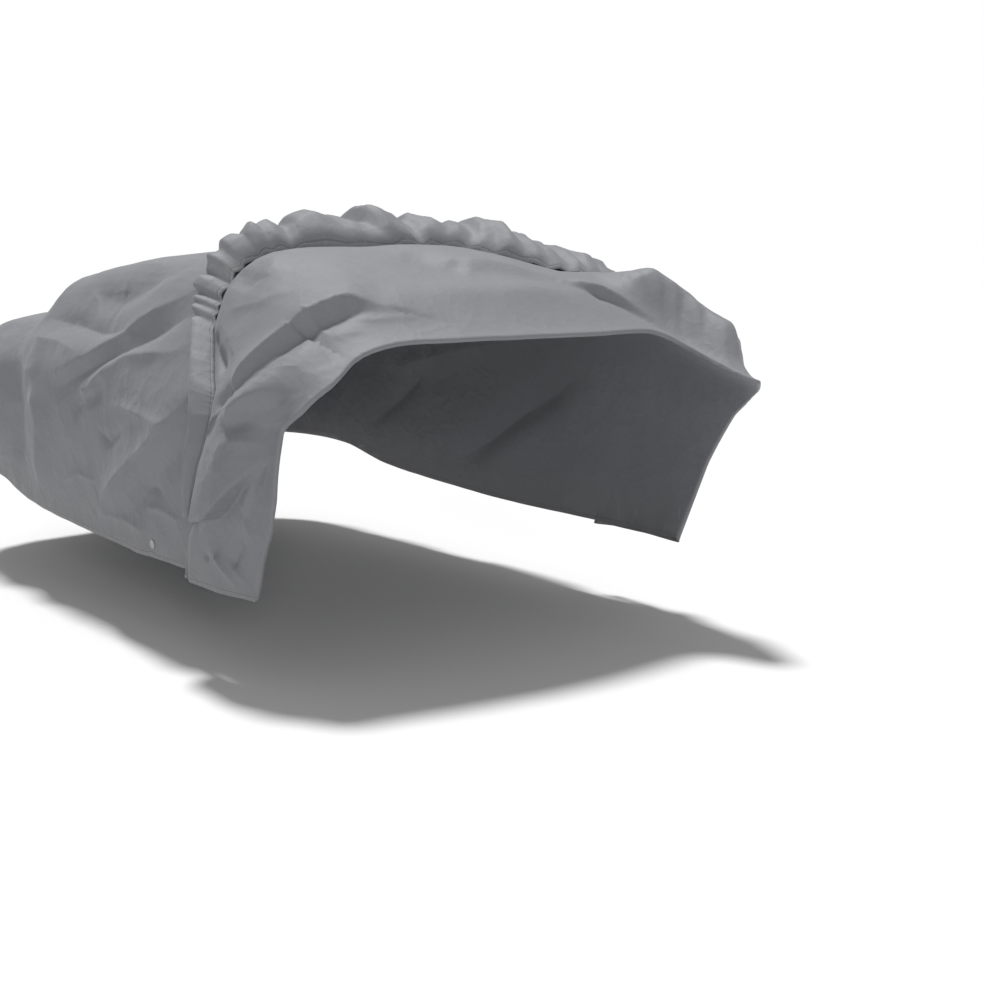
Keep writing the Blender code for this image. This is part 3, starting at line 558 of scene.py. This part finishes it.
def sheet_points(girth):
    """Points of the whole sheet but its rear face, a row for each step from rear to hem."""
    near_side, far_side = np.clip(1.0 - girth, 0.0, 1.0), np.clip(girth - (STATIONS - 1), 0.0, 1.0)
    place = girth + TURNED_DROP * (far_side - near_side)
    shown_end = turn(girth, "back") - LAYER_GAP
    front = turn(girth, "front") - FOLD_RADIUS
    back, hem = turn(girth, "back"), turn(girth, "hem")

    closing = spread(REAR_END, 0.0, CLOSING_CELLS) + 0.0 * girth
    rear = REAR_START - REAR_LENGTH * np.sin(0.5 * np.pi * closing) ** REAR_SPREAD
    x = np.concatenate([rear, spread(REAR_START, shown_end, SHOWN_CELLS),
                        spread(shown_end, front, HIDDEN_CELLS)])
    shown = 1.0 - smooth_step((x - shown_end) / HIDDEN_FADE)
    from_disc = np.hypot(x - DISC_PLACE[0], STATION_LENGTH * (girth - DISC_PLACE[1]))
    loose = smooth_step((from_disc - DISC_CALM[0]) / (DISC_CALM[1] - DISC_CALM[0]))
    rough = crumpled(draped(x, girth), LOWER_SEED, CRUMPLES)
    lower = hung(x, girth, MIDDLE + (relief(x, girth, LOWER_FOLDS) + loose * rough) * shown)

    share = spread(0.0, 1.0, FOLD_CELLS)
    bend = hung(front + FOLD_RADIUS * np.sin(np.pi * share), girth + (place - girth) * share,
                MIDDLE + FOLD_RADIUS * (1.0 - np.cos(np.pi * share)) + 0.0 * girth)

    x = spread(front, back + ROLL[0].side_forward * (hem - back), TURNED_CELLS)
    clear_of_fold = smooth_step((front - x) / FOLD_REACH)
    clear_of_flap = smooth_step((x - hem + LOFT_START) / LOFT_REACH)
    apron = smooth_step((girth - APRON_START) / APRON_EASE) * smooth_step((APRON_END - girth) / APRON_EASE)
    loose = 1.0 - (1.0 - APRON_LEFT) * apron
    rough = crumpled(draped(x, girth), TURNED_SEED, CRUMPLES)
    free = TURNED_LOFT + relief(x, girth, TURNED_FOLDS) + loose * rough
    clear, droop = pocket(x, girth)
    height = LAYER_GAP + (free * clear_of_flap + clear) * clear_of_fold
    turned = hung(x, place, MIDDLE + height) + droop * clear_of_fold[..., None]
    return np.concatenate([lower, bend, turned, flap_points(girth, place, FLAP_CELLS * FINE)])


def rear_face(first, side_count):
    """The rear face, hung between the first row's two sides from its top edge down (a Coons patch)."""
    near = first[:side_count + 1][::-1, None]
    far = first[-side_count - 1:][:, None]
    top = first[side_count:len(first) - side_count]
    across = ((top[:, 1] - top[0, 1]) / (top[-1, 1] - top[0, 1]))[:, None]
    crest = top - top[0] - across * (top[-1] - top[0])
    bulge = (1.0 - (2.0 * across - 1.0) ** 2) * (-REAR_BULGE, 0.0, 0.0)
    depth = np.arange(side_count + 1)[:, None, None] / side_count
    return near + across * (far - near) + crest * (1.0 - depth) + bulge * smooth_step(depth * REAR_FULL)


def run_of(points):
    """Distance of each of these points from the first, along them."""
    return np.concatenate([[0.0], np.linalg.norm(np.diff(points, axis=0), axis=1).cumsum()])


def lay(sheet, points, cut, hem):
    """Adds a grid with these points and UV places to the sheet."""
    rows, columns = points.shape[:2]
    made = bmesh.ops.create_grid(sheet, x_segments=columns - 1, y_segments=rows - 1, size=1.0)["verts"]
    sheet.verts.index_update()
    first = made[0].index
    for vertex, point in zip(made, points.reshape(-1, 3)):
        vertex.co = point
    cut, hem = cut.reshape(-1, 2), hem.reshape(-1, 2)
    cut_map, hem_map = sheet.loops.layers.uv["cut"], sheet.loops.layers.uv["hem"]
    for face in {face for vertex in made for face in vertex.link_faces}:
        for loop in face.loops:
            loop[cut_map].uv = cut[loop.vert.index - first]
            loop[hem_map].uv = hem[loop.vert.index - first]


girth = girth_columns()
points = sheet_points(girth)
sides = sum(SIDE_CELLS) * FINE
rear = rear_face(points[0], sides)

# The width is measured along a plain row of the lower layer, and the length along the crown.
around = run_of(points[len(points) // 3])
along = run_of(points[:, len(girth) // 2])
down = run_of(rear[:, 0])
across, length = np.meshgrid(around, along)
from_side = np.minimum(across, around[-1] - across)
from_front = along[-1] - length
cut = np.stack([across, length], axis=-1)
hem = np.stack([np.minimum(from_side, from_front), np.where(from_side < from_front, length, across)],
               axis=-1)
rear_across, rear_length = np.meshgrid(around[sides:len(girth) - sides], -down)
rear_cut = np.stack([rear_across, rear_length], axis=-1)
rear_hem = np.stack([down[-1] + rear_length, rear_across], axis=-1)

sheet = bmesh.new()
sheet.loops.layers.uv.new("cut")
sheet.loops.layers.uv.new("hem")
lay(sheet, points, cut, hem)
lay(sheet, rear, rear_cut, rear_hem)
bmesh.ops.remove_doubles(sheet, verts=sheet.verts, dist=WELD)
bmesh.ops.recalc_face_normals(sheet, faces=sheet.faces)
cover_mesh = bpy.data.meshes.new("cover")
sheet.to_mesh(cover_mesh)
sheet.free()
cover_mesh.shade_smooth()
cover = bpy.data.objects.new("cover", cover_mesh)
bpy.context.scene.collection.objects.link(cover)
fewer = cover.modifiers.new("fewer faces where plain", "DECIMATE")
fewer.ratio = KEPT_SHARE
wall = cover.modifiers.new("cloth thickness", "SOLIDIFY")
wall.thickness = CLOTH
wall.offset = 1.0

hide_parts("cover_cloth")
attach(cover, "root")

# ------------------------------------------------- the cloth: its finish
# Plain-woven polyester with a thin matt coating: fine threads, a little mottled, creased all over
# from being packed, with a stitched and slightly dirty hem, and painted shade along the hem's seam.

POLYESTER_GREY = (0.178, 0.182, 0.196, 1.0)
DIRT = (0.24, 0.235, 0.225, 1.0)
SEAM_PAINTED_SHADE = (0.07, 0.07, 0.075, 1.0)
SEWING_THREAD = (0.30, 0.30, 0.31, 1.0)
THREAD = 0.0012
WAVE_PERIOD = 0.1 * np.pi
PACKING_CREASES = (6.0, 0.020)  # cells to the metre, and width of a crease
HANDLING_CREASES = (17.0, 0.010)
FACETS = 9.0
CREASE_WANDER = 0.06
HEM_WIDTH = 0.016
SEAM_WIDTH = 0.0025
STITCH = 0.005
STITCH_SPACE = 0.35
STITCH_LINE = 0.012
STITCH_WIDTH = 0.0008
PUCKER_REACH = 0.06
DIRT_REACH = 0.22


def node(tree, kind, inputs=None, **settings):
    """A new shader node with these settings, and with its inputs set or linked."""
    made = tree.nodes.new("ShaderNode" + kind)
    for name, value in settings.items():
        setattr(made, name, value)
    for name, value in (inputs or {}).items():
        if isinstance(value, bpy.types.NodeSocket):
            tree.links.new(value, made.inputs[name])
        else:
            made.inputs[name].default_value = value
    return made


def maths(tree, operation, first, second=0.0, clamp=False):
    """This operation on two masks or numbers."""
    return node(tree, "Math", {0: first, 1: second}, operation=operation, use_clamp=clamp).outputs[0]


def noise(tree, place, scale, detail):
    """Soft noise with this many waves to the metre."""
    return node(tree, "TexNoise", {"Vector": place, "Scale": scale, "Detail": detail}).outputs["Fac"]


def nearness(tree, distance, reach):
    """1 where this distance is nothing, and 0 from this reach on."""
    return maths(tree, "SUBTRACT", 1.0, maths(tree, "DIVIDE", distance, reach, clamp=True))


def raised(tree, heights, total=None):
    """The sum of these masks, each times its height in metres, added to the total so far."""
    for mask, rise in heights:
        part = maths(tree, "MULTIPLY", mask, rise)
        total = part if total is None else maths(tree, "ADD", total, part)
    return total


def tinted(tree, colour, mask, strength, tint):
    """The colour, mixed with a tint where the mask is."""
    return node(tree, "Mix", {"Factor": maths(tree, "MULTIPLY", mask, strength), "A": colour, "B": tint},
                data_type="RGBA").outputs["Result"]


mottling = bpy.data.node_groups.new("mottling", "ShaderNodeTree")
for name, kind in (("Place", "Vector"), ("Colour", "Color"), ("Scale", "Float"), ("Strength", "Float")):
    mottling.interface.new_socket(name, in_out="INPUT", socket_type="NodeSocket" + kind)
mottling.interface.new_socket("Colour", in_out="OUTPUT", socket_type="NodeSocketColor")
given = mottling.nodes.new("NodeGroupInput").outputs
broad = node(mottling, "TexNoise", {"Vector": given["Place"], "Scale": given["Scale"], "Detail": 6.0,
                                    "Roughness": 0.65}).outputs["Fac"]
change = maths(mottling, "MULTIPLY", maths(mottling, "SUBTRACT", broad, 0.5), given["Strength"])
value = maths(mottling, "ADD", change, 1.0)
brighter = node(mottling, "HueSaturation", {"Value": value, "Color": given["Colour"]})
mottling.links.new(brighter.outputs["Color"], mottling.nodes.new("NodeGroupOutput").inputs["Colour"])


def mottled(tree, place, colour, scale, strength):
    """The colour, made a little lighter and darker in patches."""
    made = tree.nodes.new("ShaderNodeGroup")
    made.node_tree = mottling
    tree.links.new(place, made.inputs["Place"])
    if isinstance(colour, bpy.types.NodeSocket):
        tree.links.new(colour, made.inputs["Colour"])
    else:
        made.inputs["Colour"].default_value = colour
    made.inputs["Scale"].default_value = scale
    made.inputs["Strength"].default_value = strength
    return made.outputs["Colour"]


polyester = bpy.data.materials.new("grey polyester")
polyester.use_nodes = True
tree = polyester.node_tree
shader = tree.nodes["Principled BSDF"]
place = node(tree, "TexCoord").outputs["Object"]
cut_place = node(tree, "UVMap", uv_map="cut").outputs["UV"]
hem_place = node(tree, "SeparateXYZ", {"Vector": node(tree, "UVMap", uv_map="hem").outputs["UV"]}).outputs
from_hem, along_hem = hem_place["X"], hem_place["Y"]

warp, weft = (node(tree, "TexWave", {"Vector": cut_place, "Scale": WAVE_PERIOD / THREAD},
                   bands_direction=way).outputs["Fac"] for way in "XY")
weave = maths(tree, "MULTIPLY", warp, weft)

wander = node(tree, "TexNoise", {"Vector": place, "Scale": 6.0, "Detail": 3.0}).outputs["Color"]
wander = node(tree, "VectorMath", {0: wander, "Scale": CREASE_WANDER}, operation="SCALE").outputs[0]
bent = node(tree, "VectorMath", {0: place, 1: wander}, operation="ADD").outputs[0]
patches = node(tree, "MapRange", {"Value": noise(tree, place, 3.5, 2.0), "From Min": 0.38,
                                  "From Max": 0.62}).outputs["Result"]


def cell_distance(scale, feature):
    """Distance in uneven cells of this many to the metre."""
    return node(tree, "TexVoronoi", {"Vector": bent, "Scale": scale}, feature=feature).outputs["Distance"]


def creases(scale, width):
    """Thin ridges on the edges of uneven cells of this many to the metre."""
    return nearness(tree, cell_distance(scale, "DISTANCE_TO_EDGE"), width * scale)


packing = maths(tree, "MULTIPLY", creases(*PACKING_CREASES), patches)
handling = creases(*HANDLING_CREASES)
facets = cell_distance(FACETS, "F1")
fine_creases = noise(tree, place, 70.0, 3.0)

from_seam, from_stitches = (maths(tree, "ABSOLUTE", maths(tree, "SUBTRACT", from_hem, line))
                            for line in (HEM_WIDTH, STITCH_LINE))
seam = nearness(tree, from_seam, SEAM_WIDTH)
stitching = maths(tree, "GREATER_THAN", maths(tree, "PINGPONG", along_hem, STITCH), STITCH_SPACE * STITCH)
stitches = maths(tree, "MULTIPLY", maths(tree, "LESS_THAN", from_stitches, STITCH_WIDTH), stitching)
doubled = maths(tree, "LESS_THAN", from_hem, HEM_WIDTH)
drawn_in = noise(tree, node(tree, "CombineXYZ", {"X": along_hem}).outputs[0], 60.0, 1.0)
puckering = maths(tree, "MULTIPLY", drawn_in, nearness(tree, from_hem, PUCKER_REACH))

# Low down the cloth keeps its creases, and higher up its own weight pulls about half of them out.
level = node(tree, "SeparateXYZ", {"Vector": place}).outputs["Z"]
pulled = node(tree, "MapRange", {"Value": level, "From Min": -0.55, "From Max": -0.22, "To Min": 1.0,
                                 "To Max": 0.55}).outputs["Result"]
height = raised(tree, ((packing, 0.0016), (handling, 0.0006), (facets, 0.0045)))
height = maths(tree, "MULTIPLY", height, pulled)
height = raised(tree, ((fine_creases, 0.0005), (puckering, 0.005), (doubled, 0.0006), (seam, -0.0006),
                       (stitches, 0.0004), (weave, 0.00007)), height)
surface = node(tree, "Bump", {"Strength": 1.0, "Distance": 1.0, "Height": height}).outputs["Normal"]

colour = mottled(tree, place, POLYESTER_GREY, 2.2, 0.16)
colour = mottled(tree, place, colour, 45.0, 0.14)
dusty = maths(tree, "MULTIPLY", noise(tree, place, 9.0, 5.0), nearness(tree, from_hem, DIRT_REACH))
colour = tinted(tree, colour, dusty, 0.35, DIRT)
# Painted shade: the seam's line is darkened as if shaded in its groove. It is not a colour of the cloth.
colour = tinted(tree, colour, seam, 0.45, SEAM_PAINTED_SHADE)
colour = tinted(tree, colour, stitches, 0.8, SEWING_THREAD)
dullness = node(tree, "MapRange", {"Value": weave, "To Min": 0.66, "To Max": 0.52}).outputs["Result"]
tree.links.new(colour, shader.inputs["Base Color"])
tree.links.new(dullness, shader.inputs["Roughness"])
tree.links.new(surface, shader.inputs["Normal"])
shader.inputs["Sheen Weight"].default_value = 0.12
shader.inputs["Sheen Roughness"].default_value = 0.4
shader.inputs["Specular IOR Level"].default_value = 0.4
cover.data.materials.append(polyester)

# ------------------------------------------------- the disc near the hem
# A small dished disc of pale moulded plastic on the near side, just above the hem. It is a hard
# piece that keeps its own shape, slightly grained, scuffed and grey with dust.

DISC_GREY = (0.36, 0.365, 0.37, 1.0)

disc_plastic = bpy.data.materials.new("pale moulded plastic")
disc_plastic.use_nodes = True
tree = disc_plastic.node_tree
shader = tree.nodes["Principled BSDF"]
place = node(tree, "TexCoord").outputs["Object"]
colour = mottled(tree, place, DISC_GREY, 60.0, 0.30)
colour = mottled(tree, place, colour, 900.0, 0.25)
grain = noise(tree, place, 1400.0, 2.0)
scuffs = noise(tree, place, 180.0, 4.0)
height = raised(tree, ((grain, 0.00006), (scuffs, 0.0002)))
surface = node(tree, "Bump", {"Strength": 0.8, "Distance": 1.0, "Height": height}).outputs["Normal"]
dullness = node(tree, "MapRange", {"Value": scuffs, "To Min": 0.38, "To Max": 0.62}).outputs["Result"]
tree.links.new(colour, shader.inputs["Base Color"])
tree.links.new(dullness, shader.inputs["Roughness"])
tree.links.new(surface, shader.inputs["Normal"])
hem_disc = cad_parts["hem_disc"]
hem_disc.data.materials.clear()
hem_disc.data.materials.append(disc_plastic)

# ---------------------------------------------------------------- floor and light
# A plain pale floor at the height of the ground, a soft light almost overhead and a little behind,
# a weak low one from the front, and a pale surrounding. None of it is part of the cover.

FLOOR_REACH = 30.0
FLOOR_GREY = (0.70, 0.70, 0.70, 1.0)
FLOOR_DULLNESS = 0.95
SURROUND_WHITE = (1.0, 1.0, 1.0, 1.0)
SURROUND_LIGHT = 0.34

floor_form = bmesh.new()
bmesh.ops.create_grid(floor_form, x_segments=1, y_segments=1, size=FLOOR_REACH)
floor_form.transform(Matrix.Translation((0.0, 0.0, -ROOF_HEIGHT)))
floor_mesh = bpy.data.meshes.new("floor")
floor_form.to_mesh(floor_mesh)
floor_form.free()
floor = bpy.data.objects.new("floor", floor_mesh)
bpy.context.scene.collection.objects.link(floor)
floor_paint = bpy.data.materials.new("pale floor")
floor_paint.use_nodes = True
shader = floor_paint.node_tree.nodes["Principled BSDF"]
shader.inputs["Base Color"].default_value = FLOOR_GREY
shader.inputs["Roughness"].default_value = FLOOR_DULLNESS
floor.data.materials.append(floor_paint)


def soft_sun(name, direction, angle, strength):
    """A lamp that shines from this direction, and is this wide."""
    lamp = bpy.data.lights.new(name, "SUN")
    lamp.angle = angle
    lamp.energy = strength
    holder = bpy.data.objects.new(name, lamp)
    bpy.context.scene.collection.objects.link(holder)
    holder.rotation_euler = Vector(direction).to_track_quat("Z", "Y").to_euler()


soft_sun("high light", direction=(-0.28, 0.08, 1.0), angle=0.16, strength=3.6)
soft_sun("front fill", direction=(1.0, -0.50, 0.30), angle=0.3, strength=0.8)
studio = bpy.data.worlds.new("studio")
bpy.context.scene.world = studio
studio.use_nodes = True
surround = studio.node_tree.nodes["Background"]
surround.inputs["Color"].default_value = SURROUND_WHITE
seen = node(studio.node_tree, "LightPath").outputs["Is Camera Ray"]
glow = node(studio.node_tree, "MapRange", {"Value": seen, "To Min": SURROUND_LIGHT, "To Max": 1.0})
studio.node_tree.links.new(glow.outputs["Result"], surround.inputs["Strength"])
bpy.context.scene.view_settings.view_transform = "Standard"
